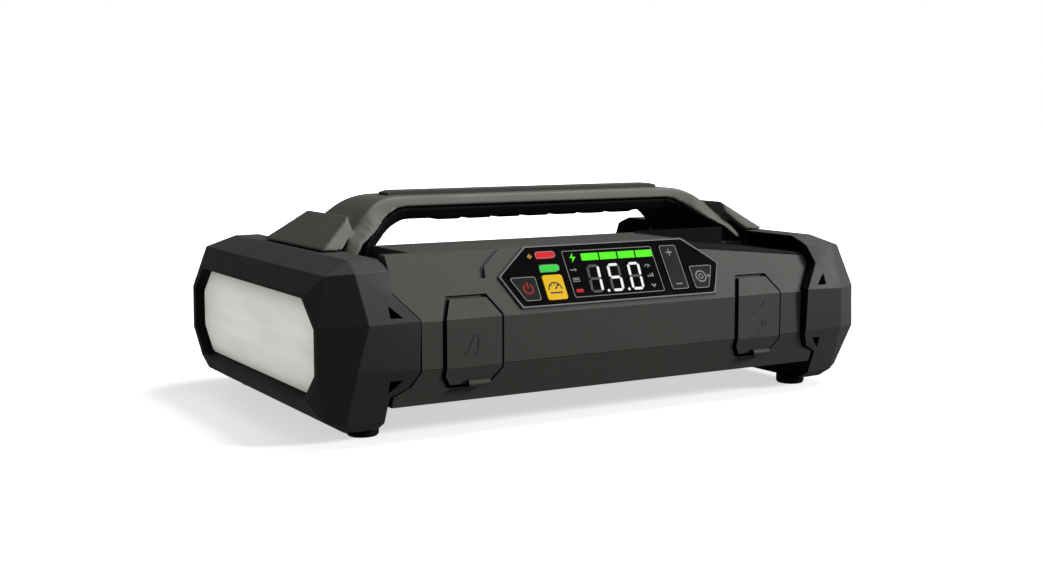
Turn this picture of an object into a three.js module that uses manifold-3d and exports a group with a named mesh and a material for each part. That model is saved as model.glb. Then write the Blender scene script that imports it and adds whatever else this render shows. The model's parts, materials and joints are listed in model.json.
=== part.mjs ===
// Jump starter pack with air pump: faceted housing, two bumpers, carry handle, lamp, display and ports.
// Frame: millimetres, +X along the length (the lamp is at -X), the display faces -Y, +Z is up.
// The origin is the centre of the footprint, on the plane that the feet stand on.
import * as THREE from 'three';
import { mergeVertices } from 'three/addons/utils/BufferGeometryUtils.js';
import { ConvexGeometry } from 'three/addons/geometries/ConvexGeometry.js';
import Module from 'manifold-3d';

const wasm = await Module();
wasm.setup();

// ---------------------------------------------------------------- driving dimensions
const GAP = 0.35; // clearance between neighbouring pieces
const WALL = 2.5; // housing wall
const END_X = 159; // outer face of a bumper
const RIM_X = 114.3; // inner rim of a bumper at mid height
const TOP_RIM_X = 124; // inner rim of a bumper on the deck
const BODY_Y = 100.1; // front plane of the housing
const SEAM_Z = 33; // parting plane of the two housings
const RIDGE_Z = 55.1; // crease between the front plane and the upper facet
const FACET_ANGLE = THREE.MathUtils.degToRad(58); // slope of the upper facet
const DECK_Z = 84.5;
const FLOOR_Z = 15.6; // underside of the lower housing
const FLOOR_Y = 93.6; // half width of that underside
const BUMPER_TOP_Z = 82.8;
const BUMPER_FLOOR_Z = 3.9;
const WELL = { floorZ: 68, x: 103, frontY: -24, legBaseY: 31.5 }; // hand well under the handle
const STEP = { backY: -38, line: [[46.6, 84.6], [54.4, 79.4], [140, 71.3]] }; // lowered deck at +X, (X, Z)
const FOOT = { x: 130, y: 72.7, r: 7.6 };
const SPIGOT = { x: 130, inset: 3.4 }; // end of the housing that plugs into a bumper
const GROOVE = 2; // groove between the housing skin and a bumper's rim
const HANDLE = { top: 107.3, topHalf: 16.5, sideZ: 101.8, sideHalf: 20.5, straight: 82 };
const TOP_PAD = { x: 84.8, half: 5.6, depth: 0.85, proud: 2.2 }; // strip let into the top of the handle
const DISPLAY_U = -1.4; // middle of the display along the facet
const OUTLET_Z = 45.4; // air outlet on the rear face
const OUTLET_R = 2.9;
const DECK_Y = BODY_Y - (DECK_Z - RIDGE_Z) / Math.tan(FACET_ANGLE);

// ---------------------------------------------------------------- solid helpers
const scene = new THREE.Group();

function toSolid(geometry) {
  const bare = geometry.clone();
  bare.deleteAttribute('normal');
  bare.deleteAttribute('uv');
  const merged = mergeVertices(bare, 1e-4);
  const vertProperties = new Float32Array(merged.attributes.position.array);
  const triVerts = new Uint32Array(merged.index.array);
  return new wasm.Manifold(new wasm.Mesh({ numProp: 3, vertProperties, triVerts }));
}

function toGeometry(solid) {
  const mesh = solid.getMesh();
  const geometry = new THREE.BufferGeometry();
  geometry.setAttribute('position', new THREE.BufferAttribute(new Float32Array(mesh.vertProperties), 3));
  geometry.setIndex(new THREE.BufferAttribute(new Uint32Array(mesh.triVerts), 1));
  return geometry;
}

function join(...solids) {
  return solids.reduce((sum, solid) => sum.add(solid));
}

function cut(base, ...tools) {
  return tools.reduce((rest, tool) => rest.subtract(tool), base);
}

function box(x0, x1, y0, y1, z0, z1) {
  const geometry = new THREE.BoxGeometry(x1 - x0, y1 - y0, z1 - z0);
  geometry.translate((x0 + x1) / 2, (y0 + y1) / 2, (z0 + z1) / 2);
  return toSolid(geometry);
}

function hull(points) {
  return toSolid(new ConvexGeometry(points.map((p) => new THREE.Vector3(...p))));
}

// A hull of points given for +Y, with their mirror images in Y.
function hullBothSides(points) {
  return hull(points.flatMap(([x, y, z]) => [[x, y, z], [x, -y, z]]));
}

// A hull of points given for +X and +Y, at one end of the pack.
function hullAtEnd(side, points) {
  return hullBothSides(points.map(([x, half, z]) => [side * x, half, z]));
}

function extrude(outline, depth) {
  const shape = new THREE.Shape(outline.map(([a, b]) => new THREE.Vector2(a, b)));
  return new THREE.ExtrudeGeometry(shape, { depth, bevelEnabled: false });
}

// A prism along X of a (Y, Z) outline.
function prismX(outline, x0, x1) {
  const turn = new THREE.Matrix4().makeBasis(
    new THREE.Vector3(0, 1, 0), new THREE.Vector3(0, 0, 1), new THREE.Vector3(1, 0, 0));
  return toSolid(extrude(outline, x1 - x0).applyMatrix4(turn).translate(x0, 0, 0));
}

// A prism along Y of an (X, Z) outline.
function prismY(outline, y0, y1) {
  return toSolid(extrude(outline, y1 - y0).rotateX(Math.PI / 2).translate(0, y1, 0));
}

// A cylinder from one point along an axis letter.
function rod(axis, [x, y, z], length, radius, sides = 24, endRadius = radius) {
  const geometry = new THREE.CylinderGeometry(endRadius, radius, length, sides);
  geometry.translate(0, length / 2, 0);
  if (axis === 'z') geometry.rotateX(Math.PI / 2);
  if (axis === 'x') geometry.rotateZ(-Math.PI / 2);
  return toSolid(geometry.translate(x, y, z));
}

// Cuts away everything beyond the plane through three points, keeping the side that holds `inside`.
function trim(solid, a, b, c, inside) {
  const size = 600;
  const plane = new THREE.Plane().setFromCoplanarPoints(
    new THREE.Vector3(...a), new THREE.Vector3(...b), new THREE.Vector3(...c));
  if (plane.distanceToPoint(new THREE.Vector3(...inside)) > 0) plane.negate();
  const cutter = new THREE.BoxGeometry(size, size, size).translate(0, 0, size / 2);
  cutter.applyQuaternion(new THREE.Quaternion().setFromUnitVectors(new THREE.Vector3(0, 0, 1), plane.normal));
  const centre = plane.projectPoint(new THREE.Vector3(...inside), new THREE.Vector3());
  return solid.subtract(toSolid(cutter.translate(centre.x, centre.y, centre.z)));
}

// The outline moved inwards by `inset` on every edge; the outline runs anticlockwise.
function insetOutline(outline, inset) {
  return outline.map((point, i) => {
    const before = outline.at(i - 1);
    const after = outline[(i + 1) % outline.length];
    const unit = ([ax, ay], [bx, by]) => new THREE.Vector2(bx - ax, by - ay).normalize();
    const d0 = unit(before, point);
    const d1 = unit(point, after);
    const n0 = new THREE.Vector2(-d0.y, d0.x);
    const n1 = new THREE.Vector2(-d1.y, d1.x);
    const scale = inset / (1 + n0.dot(n1));
    return [point[0] + (n0.x + n1.x) * scale, point[1] + (n0.y + n1.y) * scale];
  });
}

function mirroredOutline(rightHalf) {
  return [...rightHalf, ...rightHalf.map(([a, b]) => [-a, b]).reverse()];
}

// ---------------------------------------------------------------- materials
function material(color, roughness, metalness = 0) {
  return new THREE.MeshStandardMaterial({ color, roughness, metalness });
}
const housingPlastic = material(0x54544f, 0.6);
const bumperRubber = material(0x3a3a38, 0.75);
const handlePlastic = material(0x5c5d58, 0.55);
const flapRubber = material(0x4e4e4a, 0.7);
const blackRubber = material(0x101010, 0.8);
const blackPlastic = material(0x1a1a1b, 0.5);
const whitePlastic = material(0xe8e8e2, 0.4);
const frostedLens = material(0xdcdcd2, 0.35);
const glossBlack = material(0x08080a, 0.12);
const keyBlack = material(0x121214, 0.3);
const keyYellow = material(0xf6c915, 0.35);
const lampRed = material(0xd8161e, 0.3);
const lampGreen = material(0x2ad040, 0.3);
const boardGreen = material(0x1d5a34, 0.5);
const steel = material(0xa8abb0, 0.35, 0.9);
const aluminium = material(0xc4c6c8, 0.4, 0.9);
const brass = material(0xc29a4a, 0.35, 0.9);
const cellFoil = material(0x9da3ab, 0.35, 0.6);
const redRubber = material(0xb01818, 0.6);
const gearPlastic = material(0xe4e0d4, 0.5);

function place(name, solid, finish, position = [0, 0, 0], parent = scene) {
  const mesh = new THREE.Mesh(toGeometry(solid), finish);
  mesh.name = name;
  mesh.position.set(...position);
  parent.add(mesh);
  return mesh;
}

// ---------------------------------------------------------------- housing sections
const bodySection = mirroredOutline([
  [FLOOR_Y, FLOOR_Z], [BODY_Y, SEAM_Z], [BODY_Y, RIDGE_Z], [DECK_Y, DECK_Z], [34, DECK_Z], [28, 80.5],
]);
const bodyInner = insetOutline(bodySection, WALL);
const spigotSection = insetOutline(bodySection, SPIGOT.inset);
const spigotInner = insetOutline(bodySection, SPIGOT.inset + WALL);
const spigotBore = insetOutline(bodySection, SPIGOT.inset - GAP);

// The zigzag edge where a bumper meets the housing, as (X, Z) points from the top down.
const rimLine = [
  [TOP_RIM_X, 120], [TOP_RIM_X, 79], [125.6, 69], [RIM_X, 56.4], [RIM_X, 32],
  [118.5, 25], [126.5, 21], [127.4, -10],
];

// The region beyond the rim line at one end; `shift` moves the line towards the middle.
function endRegion(side, shift) {
  const line = rimLine.map(([x, z]) => [side * (x - shift), z]);
  return prismY([...line, [side * 200, -10], [side * 200, 120]], -130, 130);
}

// The hand well under the handle: sloped end walls at the legs, and open from bumper to bumper behind them.
function handWell(grow) {
  const floor = WELL.floorZ - grow;
  const above = 90;
  const endWall = [[WELL.x, floor], [WELL.x + 4.7, 80.8], [WELL.x + 11, above]];
  const between = prismY(mirroredOutline(endWall.map(([x, z]) => [x + grow, z])), -60, 130);
  const behind = box(-140, 140, WELL.legBaseY - grow, 130, floor, above);
  const front = hull([-140, 140].flatMap((x) => [
    [x, WELL.frontY - grow, floor], [x, WELL.frontY - 7 - grow, above], [x, 130, floor], [x, 130, above],
  ]));
  return join(between, behind).intersect(front);
}

// The step in the deck in front of the handle leg at +X.
function deckStep(grow, backY = STEP.backY) {
  const [start, , end] = STEP.line;
  const outline = [[start[0], 95], ...STEP.line, [end[0], 95]];
  return prismY(insetOutline(outline, -grow), -130, backY + grow);
}

// The hollows in the deck that the front feet of the handle legs stand in.
const POCKET = { floorZ: 77, frontY: -76, backY: -31.5, innerX: 106.5, outerX: 124 };

function legPockets(grow) {
  const [y0, y1] = [POCKET.frontY - grow, POCKET.backY + grow];
  const [near, far] = [POCKET.innerX - grow, POCKET.outerX + grow];
  const floor = POCKET.floorZ - grow;
  return join(box(-far, -near, y0, y1, floor, 95), box(near, far, y0, y1, floor, 95));
}

// Everything that is cut out of the top of the housing.
function topOpenings(grow) {
  return join(handWell(grow), deckStep(grow), legPockets(grow));
}

// ---------------------------------------------------------------- upper facet frame
const facet = new THREE.Group();
facet.position.set(0, -BODY_Y, RIDGE_Z);
facet.rotation.x = FACET_ANGLE;
scene.add(facet);
facet.updateMatrixWorld(true);

// A prism standing on the upper facet: (u along X, v up the slope), from height n0 to n1 above it.
function facetPrism(outline, n0, n1) {
  return toSolid(extrude(outline, n1 - n0).translate(0, 0, n0).applyMatrix4(facet.matrixWorld));
}

function shifted(outline, du) {
  return outline.map(([u, v]) => [u + du, v]);
}

const padOutline = shifted(mirroredOutline([[57.3, 2.5], [65.6, 19.8], [47.1, 35.2]]), DISPLAY_U);
const windowOutline = shifted(mirroredOutline([[56, 3.8], [64, 17.5], [64, 20], [46, 34]]), DISPLAY_U);
const cheekKey = [[45.6, 5.8], [54.4, 5.8], [60.8, 18.9], [45.6, 18.9]];
const keyOutlines = {
  power_key: shifted(cheekKey.map(([u, v]) => [-u, v]).reverse(), DISPLAY_U),
  units_key: [[-43.6, 5.7], [-32.2, 5.7], [-32.2, 19], [-43.6, 19]],
  adjust_key: [[29.7, 6.1], [40.5, 6.1], [40.5, 31.4], [29.7, 31.4]],
  pump_key: shifted(cheekKey, DISPLAY_U),
};
const lightOutlines = {
  light_pipe_red: [[-43.2, 28.2], [-32.6, 28.2], [-32.6, 31.8], [-43.2, 31.8]],
  light_pipe_green: [[-43, 21], [-32.4, 21], [-32.4, 24.6], [-43, 24.6]],
};

// ---------------------------------------------------------------- port flaps
// Each flap covers X = x0..x1; `hinge` is the X range of its knuckle and `port` its opening.
const flaps = {
  jump_port_flap: { x0: -100, x1: -71, hinge: [-88.5, -77], port: { x0: -95, x1: -76.5, z0: 32, z1: 56 } },
  usb_port_flap: { x0: 69.5, x1: 97, hinge: [80.5, 91], port: { x0: 75, x1: 91.5, z0: 32, z1: 56 } },
};
const FLAP = { proud: 1, thick: 2, bottom: 24.4, top: 63.8, plug: 4.6, seat: 1.6, clearance: 1.6 };
const HINGE = { y: -99.4, z: 24.6, r: 1.7 };

function flapOutline({ x0, x1 }) {
  return [
    [x0 + 3, FLAP.bottom], [x1 - 5.5, FLAP.bottom], [x1, 31], [x1, 56], [x1 - 7, 66], [x0 + 5.4, 66],
    [x0 + 3.6, 62.8], [x0, 55.5], [x0, 29],
  ];
}

// The skin that follows the lower facet, the front plane and the upper facet, between two heights above them.
function frontSkin(n0, n1, topZ, x0, x1) {
  const bottomZ = 18;
  const lowerSlope = (BODY_Y - FLOOR_Y) / (SEAM_Z - FLOOR_Z);
  const upperBend = Math.tan(Math.PI / 4 - FACET_ANGLE / 2);
  const lowerBend = Math.tan(Math.atan(lowerSlope) / 2);
  const line = (n) => {
    const y = -BODY_Y - n;
    const seamZ = SEAM_Z - n * lowerBend;
    const ridgeZ = RIDGE_Z + n * upperBend;
    return [
      [y + (seamZ - bottomZ) * lowerSlope, bottomZ],
      [y, seamZ],
      [y, ridgeZ],
      [y + (topZ - ridgeZ) / Math.tan(FACET_ANGLE), topZ],
    ];
  };
  return prismX([...line(n1), ...line(n0).reverse()].reverse(), x0, x1);
}

function flapSeat(flap, clearance) {
  const grown = insetOutline(flapOutline(flap), -clearance);
  const seat = frontSkin(-FLAP.seat, 6, FLAP.top + clearance, flap.x0 - 3, flap.x1 + 3);
  return seat.intersect(prismY(grown, -130, -70));
}

function flapSolid(flap) {
  const { hinge, port } = flap;
  const skin = frontSkin(FLAP.proud - FLAP.thick, FLAP.proud, FLAP.top, flap.x0, flap.x1);
  const plate = skin.intersect(prismY(flapOutline(flap), -130, -70));
  const knuckle = rod('x', [hinge[0], HINGE.y, HINGE.z], hinge[1] - hinge[0], HINGE.r, 16);
  const plug = box(port.x0 + 1.2, port.x1 - 1.2, -BODY_Y + 0.6, -BODY_Y + 0.6 + FLAP.plug, port.z0 + 1.4, 53);
  return join(plate, knuckle, plug);
}

// ---------------------------------------------------------------- housings
const FEET = [[-1, -1], [1, -1], [-1, 1], [1, 1]];
const BOSS = { x: 108, y: 84, ribY: 98.5 };
const bossXY = FEET.map(([sx, sy]) => [sx * BOSS.x, sy * BOSS.y]);
const SCREW = { r: 1.5, head: 2.8, headH: 2.2, boss: 4.2, length: 26 };

function housingBody() {
  const ends = [-1, 1].map((side) => endRegion(side, GROOVE));
  const middle = cut(prismX(bodySection, -140, 140), topOpenings(0), ...ends);
  return join(middle, prismX(spigotSection, -SPIGOT.x, SPIGOT.x).subtract(topOpenings(SPIGOT.inset)));
}

function housingCavity() {
  const end = SPIGOT.x - WALL;
  const tube = prismX(bodyInner, -112, 112).subtract(topOpenings(WALL));
  const neck = prismX(spigotInner, -end, end).subtract(topOpenings(SPIGOT.inset + WALL));
  return join(tube, neck);
}

function upperHousing() {
  const above = box(-200, 200, -200, 200, SEAM_Z, 200);
  const pad = facetPrism(padOutline, -1, 0.8);
  const bosses = bossXY.map(([x, y]) => rod('z', [x, y, SEAM_Z], 22, SCREW.boss, 16));
  const ribs = bossXY.map(([x, y]) => {
    const wallY = Math.sign(y) * BOSS.ribY;
    return box(x - 1, x + 1, Math.min(y, wallY), Math.max(y, wallY), SEAM_Z, SEAM_Z + 20);
  });
  const pilots = bossXY.map(([x, y]) => rod('z', [x, y, SEAM_Z - 1], 18, SCREW.r + 0.2, 12));
  const recess = facetPrism([[-121, 20], [-73.5, 20], [-72.5, 26], [-58, 38], [-121, 38]], -1.4, 5);
  const shell = cut(housingBody(), recess, housingCavity());
  const windowSeat = facetPrism(insetOutline(windowOutline, -GAP), -1, 2);
  const windowHole = facetPrism(insetOutline(windowOutline, 1.2), -8, 2);
  const seats = Object.values(flaps).map((flap) => flapSeat(flap, FLAP.clearance));
  const ports = Object.values(flaps).map(({ port: p }) => box(p.x0, p.x1, -110, -90, p.z0, p.z1));
  const outletHole = rod('y', [0, 90, OUTLET_Z], 20, OUTLET_R + GAP, 24);
  const openings = [windowSeat, windowHole, outletHole, ...seats, ...ports, ...pilots];
  return cut(join(shell, pad, ...bosses, ...ribs), ...openings).intersect(above);
}

function lowerHousing() {
  const below = box(-200, 200, -200, 200, -10, SEAM_Z - GAP);
  const bossFoot = FLOOR_Z + 0.5;
  const bosses = bossXY.map(([x, y]) => rod('z', [x, y, bossFoot], SEAM_Z - GAP - bossFoot, SCREW.boss, 16));
  const holes = bossXY.map(([x, y]) => rod('z', [x, y, 0], SEAM_Z, SCREW.r + 0.3, 12));
  const sinks = bossXY.map(([x, y]) => rod('z', [x, y, 0], FLOOR_Z + 2.6, SCREW.head + 0.4, 16));
  const seats = Object.values(flaps).map((flap) => flapSeat(flap, FLAP.clearance));
  const ports = Object.values(flaps).map(({ port: p }) => box(p.x0, p.x1, -110, -90, p.z0, p.z1));
  const vents = [-2, -1, 0, 1, 2].map((i) => box(60 + i * 7, 63 + i * 7, 20, 60, 0, 30));
  const shell = cut(housingBody(), housingCavity());
  return cut(join(shell, ...bosses), ...holes, ...sinks, ...seats, ...ports, ...vents).intersect(below);
}

// ---------------------------------------------------------------- bumpers
// The opening in the end of each bumper, for the lamp or for the vent cover.
const openingOutline = mirroredOutline([[72, 19.6], [85.6, 32.6], [85.6, 53.4], [71.5, 66]]);

// Corners of the convex block that a bumper is cut from, as (X, half width, Z).
const BLOCK_X = 100;
const bumperCorners = [
  [BLOCK_X, 80.4, BUMPER_TOP_Z], [138, 77.5, BUMPER_TOP_Z], [141, 78.5, 81.1],
  [BLOCK_X, 88.9, 78.8], [125.2, 88.8, 78.8], [140.9, 91.1, 78], [152.7, 83.5, 76.9],
  [BLOCK_X, 103.6, 56.4], [114.3, 103.6, 56.4], [139.1, 102.3, 55.6], [END_X, 89.2, 54.6],
  [BLOCK_X, 102.4, 33.8], [114.3, 102.4, 33.8], [143.4, 98.2, 33.6], [END_X, 90, 32.4],
  [BLOCK_X, 91.5, 8.5], [124, 91, 8.5], [145, 88.5, 8.5], [153.1, 83.2, 9.9],
  [BLOCK_X, 84, BUMPER_FLOOR_Z], [143, 82, BUMPER_FLOOR_Z], [END_X, 74, 67.4], [END_X, 76, 18.4],
];

// The four triangular pockets on each of a bumper's long sides.
function bumperPockets(side) {
  const pockets = [
    { triangle: [[128.6, 58.1], [122.5, 58.1], [128.4, 63.6]], floorY: 97.6 },
    { triangle: [[127.5, 29.2], [121.7, 29.2], [127.6, 23.2]], floorY: 95 },
  ];
  return pockets.flatMap(({ triangle, floorY }) => {
    const outline = triangle.map(([x, z]) => [side * x, z]);
    return [prismY(outline, -110, -floorY), prismY(outline, floorY, 110)];
  });
}

function bumper(side) {
  const along = (outline, x0, x1) => (side > 0 ? prismX(outline, x0, x1) : prismX(outline, -x1, -x0));
  const opening = along(openingOutline, 90, 170);
  const bore = along(spigotBore, 90, SPIGOT.x + GAP);
  const feet = [-1, 1].map((sy) => [side * FOOT.x, sy * FOOT.y, 0]);
  const footHoles = feet.map((centre) => rod('z', centre, 13, SCREW.r + 0.2, 12));
  const footSeats = feet.map((centre) => rod('z', centre, BUMPER_FLOOR_Z + 1.4, FOOT.r + GAP, 32));
  const block = hullAtEnd(side, bumperCorners).intersect(endRegion(side, 0));
  return cut(block, bore, opening, ...bumperPockets(side), ...footHoles, ...footSeats);
}

// ---------------------------------------------------------------- handle
// Stations down the leg at +X: the outer and the inner edge of its front band, as (X, half width, Z).
const legStations = [
  [[HANDLE.straight, HANDLE.topHalf, HANDLE.top], [HANDLE.straight, HANDLE.sideHalf, HANDLE.sideZ]],
  [[88, 16.8, 107.1], [85.5, 20.9, 101.2]],
  [[94, 17.8, 106.1], [91, 22.3, 98.9]],
  [[99.6, 20, 103.7], [95, 24.2, 96.1]],
  [[105, 22.2, 100], [99, 27.9, 93.1]],
  [[111.5, 24.8, 94], [103.2, 31.5, 90]],
  [[120, 33, DECK_Z + GAP], [112.3, 36.5, DECK_Z + GAP]],
];

// The feet below a leg, one in front and one behind: outer and inner edge, from inside the leg down.
const footStations = [
  [[118, 31, 87], [111, 35, 86.5]],
  [[120, 33, DECK_Z + GAP], [112.3, 36.5, DECK_Z + GAP]],
  [[123.3, 36.5, 79], [117.5, 40.5, 79]],
];

// The pylon outside each leg: an overhanging wedge on the bumper, with a ramp down its outer side.
const pylonCorners = [
  [115.6, 26.1, 99.4], [115.2, 31.4, 92.7],
  [124.3, 39.8, BUMPER_TOP_Z + GAP], [136.6, 40.8, BUMPER_TOP_Z + GAP],
];

// The web that joins leg and pylon across the channel between them.
const pylonWeb = [[107, 14, 96], [116, 14, 97], [126, 14, BUMPER_TOP_Z + GAP], [119, 14, 86]];

function hullsAlong(side, stations) {
  return stations.slice(1).map((station, i) => hullAtEnd(side, [...stations[i], ...station]));
}

// The stations joined by smooth curves and taken again at even steps.
function smoothed(stations, steps) {
  const curves = [0, 1].map((edge) => {
    return new THREE.CatmullRomCurve3(stations.map((station) => new THREE.Vector3(...station[edge])));
  });
  const at = (i) => curves.map((curve) => curve.getPoint(i / steps).toArray());
  return Array.from({ length: steps + 1 }, (_, i) => at(i));
}

function legFeet(side) {
  const innerHalf = 32;
  const points = footStations.flat();
  const block = [...points, ...points.map(([x, , z]) => [x, innerHalf, z])];
  return [-1, 1].map((sy) => hull(block.map(([x, half, z]) => [side * x, sy * half, z])));
}

function handleFrame() {
  const barEnd = legStations[0];
  const bar = hullBothSides([...barEnd, ...barEnd.map(([x, half, z]) => [-x, half, z])]);
  const ends = [-1, 1].flatMap((side) => [
    ...hullsAlong(side, smoothed(legStations, 12)),
    ...legFeet(side),
    hullAtEnd(side, pylonCorners),
    hullAtEnd(side, pylonWeb),
  ]);
  const seatX = TOP_PAD.x + GAP;
  const seatHalf = TOP_PAD.half + GAP;
  const padSeat = box(-seatX, seatX, -seatHalf, seatHalf, HANDLE.top - TOP_PAD.depth - GAP, HANDLE.top + 5);
  return cut(join(bar, ...ends), padSeat);
}

// Stations of the soft grip under the handle: an outer and an inner corner each, as (X, half width, Z).
const gripStations = [
  [[81, 20, 101.45], [80, 17, 95.4]],
  [[86, 20.8, 100.9], [83.5, 17, 94.4]],
  [[91, 21.6, 98.8], [87, 17.3, 92.8]],
  [[95, 23.4, 96], [91.5, 17.6, 89.4]],
  [[99, 27, 93], [94, 18, 86.8]],
  [[102.5, 30.2, 90.2], [97, 18.5, 83.3]],
  [[109, 34.5, 85], [101, 19, 78.3]],
  [[112, 36, 80], [105, 20, 73]],
];
const gripMiddle = [[0, 20, 101.45], [0, 17, 95.4]];
const FINGER = { pitch: 18, half: 6.5, count: 7, lowZ: 94.3 }; // ridges under the grip

function handleGrip(frame) {
  const stations = [gripMiddle, ...smoothed(gripStations, 12)];
  const halves = [-1, 1].flatMap((side) => hullsAlong(side, stations));
  const ridges = Array.from({ length: FINGER.count }, (_, i) => {
    const x = (i - (FINGER.count - 1) / 2) * FINGER.pitch;
    const outline = [[-15, FINGER.lowZ], [15, FINGER.lowZ], [17, 96.4], [-17, 96.4]];
    return prismX(outline, x - FINGER.half, x + FINGER.half);
  });
  const aroundFrame = [
    [0, 0, 0], [0, 0, -0.6], [-0.5, 0, -0.5], [0.5, 0, -0.5], [0, -0.5, -0.4], [0, 0.5, -0.4],
  ];
  const aroundHousing = [[0, 0, GAP], [GAP, 0, 0], [-GAP, 0, 0]];
  const housing = housingBody();
  return cut(
    join(...halves, ...ridges),
    ...aroundFrame.map((shift) => frame.translate(shift)),
    ...aroundHousing.map((shift) => housing.translate(shift)),
  );
}

function handleTopPad() {
  const { x, half, depth, proud } = TOP_PAD;
  const low = HANDLE.top - depth;
  const high = HANDLE.top + proud;
  return hull([-1, 1].flatMap((sx) => [-half, half].flatMap((y) => [
    [sx * x, y, low], [sx * x, y, high - 1], [sx * (x - 4), y, high],
  ])));
}

// The black liner of the deck step: a thin sheet on its floor, and a back wall that stands above the deck.
function deckTrayLiner() {
  const thick = 1.2;
  const rimX = TOP_RIM_X - 2 * GAP;
  const inside = deckStep(-GAP);
  const floorAndSide = inside.subtract(deckStep(-GAP - thick, 0)).intersect(box(0, rimX, -130, 0, 0, DECK_Z));
  const back = inside.intersect(box(0, POCKET.innerX, STEP.backY - GAP - thick, STEP.backY, 0, DECK_Z + 1));
  const facetAt = (x, y, z) => [x, -y + GAP, z];
  return trim(join(floorAndSide, back),
    facetAt(0, BODY_Y, RIDGE_Z), facetAt(9, BODY_Y, RIDGE_Z), facetAt(0, DECK_Y, DECK_Z), [90, 0, 70]);
}

// ---------------------------------------------------------------- lamp and end cover
const lampOutline = insetOutline(openingOutline, GAP);

function lampParts() {
  const lens = hull([
    ...insetOutline(lampOutline, 0.2).flatMap(([y, z]) => [[-153.6, y, z], [-151.2, y, z]]),
    ...insetOutline(lampOutline, 3.5).map(([y, z]) => [-155, y, z]),
  ]);
  const gasket = cut(prismX(lampOutline, -150.8, -149.4), prismX(insetOutline(lampOutline, 4), -152, -148));
  const dish = cut(prismX(lampOutline, -149, -134.4), hull([
    ...insetOutline(lampOutline, 2.5).map(([y, z]) => [-150, y, z]),
    ...insetOutline(lampOutline, 9).map(([y, z]) => [-136.6, y, z]),
  ]));
  const board = prismX(insetOutline(lampOutline, 3), -134, -132.4);
  place('lamp_lens', lens, frostedLens);
  place('lamp_gasket', gasket, blackRubber);
  place('lamp_reflector', dish, whitePlastic);
  place('lamp_led_board', board, whitePlastic);
}

function endVentCover() {
  const plate = prismX(lampOutline, 150.6, 153.6);
  const flange = cut(prismX(lampOutline, 133, 150.8), prismX(insetOutline(lampOutline, 2.2), 130, 150.6));
  const slots = [];
  for (const z of [27, 34.2, 41.4, 48.6, 55.8]) {
    const reach = z < 30 || z > 54 ? 52 : 62;
    slots.push(box(145, 160, -reach, -3, z, z + 3.4), box(145, 160, 3, reach, z, z + 3.4));
  }
  return cut(join(plate, flange), ...slots);
}

// ---------------------------------------------------------------- display
function displayParts() {
  const local = (outline, n0, n1) => toSolid(extrude(outline, n1 - n0).translate(0, 0, n0));
  const openings = [...Object.values(keyOutlines), ...Object.values(lightOutlines)];
  const holes = openings.map((outline) => local(insetOutline(outline, -0.4), -5, 5));
  place('display_window', cut(local(windowOutline, -0.6, 0.7), ...holes), glossBlack, [0, 0, 0], facet);
  const keyFinish = { power_key: keyBlack, units_key: keyYellow, adjust_key: keyBlack, pump_key: keyBlack };
  for (const [name, outline] of Object.entries(keyOutlines)) {
    place(name, local(outline, -3, 1), keyFinish[name], [0, 0, 0], facet);
  }
  const lightFinish = { light_pipe_red: lampRed, light_pipe_green: lampGreen };
  for (const [name, outline] of Object.entries(lightOutlines)) {
    place(name, local(outline, -3.4, 0.9), lightFinish[name], [0, 0, 0], facet);
  }
  const lcd = local([[-28, 6.4], [25, 6.4], [25, 31.2], [-28, 31.2]], -3.6, -1.2);
  place('lcd_module', lcd, blackPlastic, [0, 0, 0], facet);
  const board = local([[-60, 5], [57, 5], [57, 19], [44, 31.5], [-47, 31.5], [-60, 19]], -6, -4.4);
  place('control_board', board, boardGreen, [0, 0, 0], facet);
}

// ---------------------------------------------------------------- ports
function portParts() {
  const jump = flaps.jump_port_flap.port;
  const usb = flaps.usb_port_flap.port;
  const jumpBody = box(jump.x0 + GAP, jump.x1 - GAP, -93.4, -72, 34, 54);
  const contacts = [39.4, 48.6].map((z) => rod('y', [-85.75, -100, z], 24, 3.4, 20));
  place('jump_socket', cut(jumpBody, ...contacts), blackPlastic);
  const frameBlock = box(usb.x0 + GAP, usb.x1 - GAP, -93.4, -90.6, 32.6, 55.4);
  const usbA = { x0: 76.8, x1: 89.8, z0: 46, z1: 51.4 };
  const usbC = { x0: 78.8, x1: 87.8, z0: 37, z1: 40.4 };
  const slot = (s, grow, y0, y1) => box(s.x0 - grow, s.x1 + grow, y0, y1, s.z0 - grow, s.z1 + grow);
  const portHoles = [usbA, usbC].map((opening) => slot(opening, GAP, -96, -88));
  place('usb_port_frame', cut(frameBlock, ...portHoles), blackPlastic);
  place('usb_a_socket', cut(slot(usbA, 0, -93, -78), slot(usbA, -0.6, -95, -80)), steel);
  place('usb_c_socket', cut(slot(usbC, 0, -93, -84), slot(usbC, -0.5, -95, -86)), steel);
  place('port_board', box(74, 93, -77.4, -75.8, 30, 58), boardGreen);
}

// ---------------------------------------------------------------- feet and screws
function pozidrive(top, depth) {
  return [box(-1.7, 1.7, -0.4, 0.4, top, top + depth), box(-0.4, 0.4, -1.7, 1.7, top, top + depth)];
}

function screw(length) {
  const head = rod('z', [0, 0, 0], SCREW.headH, SCREW.head, 20);
  const shank = rod('z', [0, 0, 1], length, SCREW.r, 12);
  return cut(join(head, shank), ...pozidrive(-1, 2.2));
}

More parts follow.
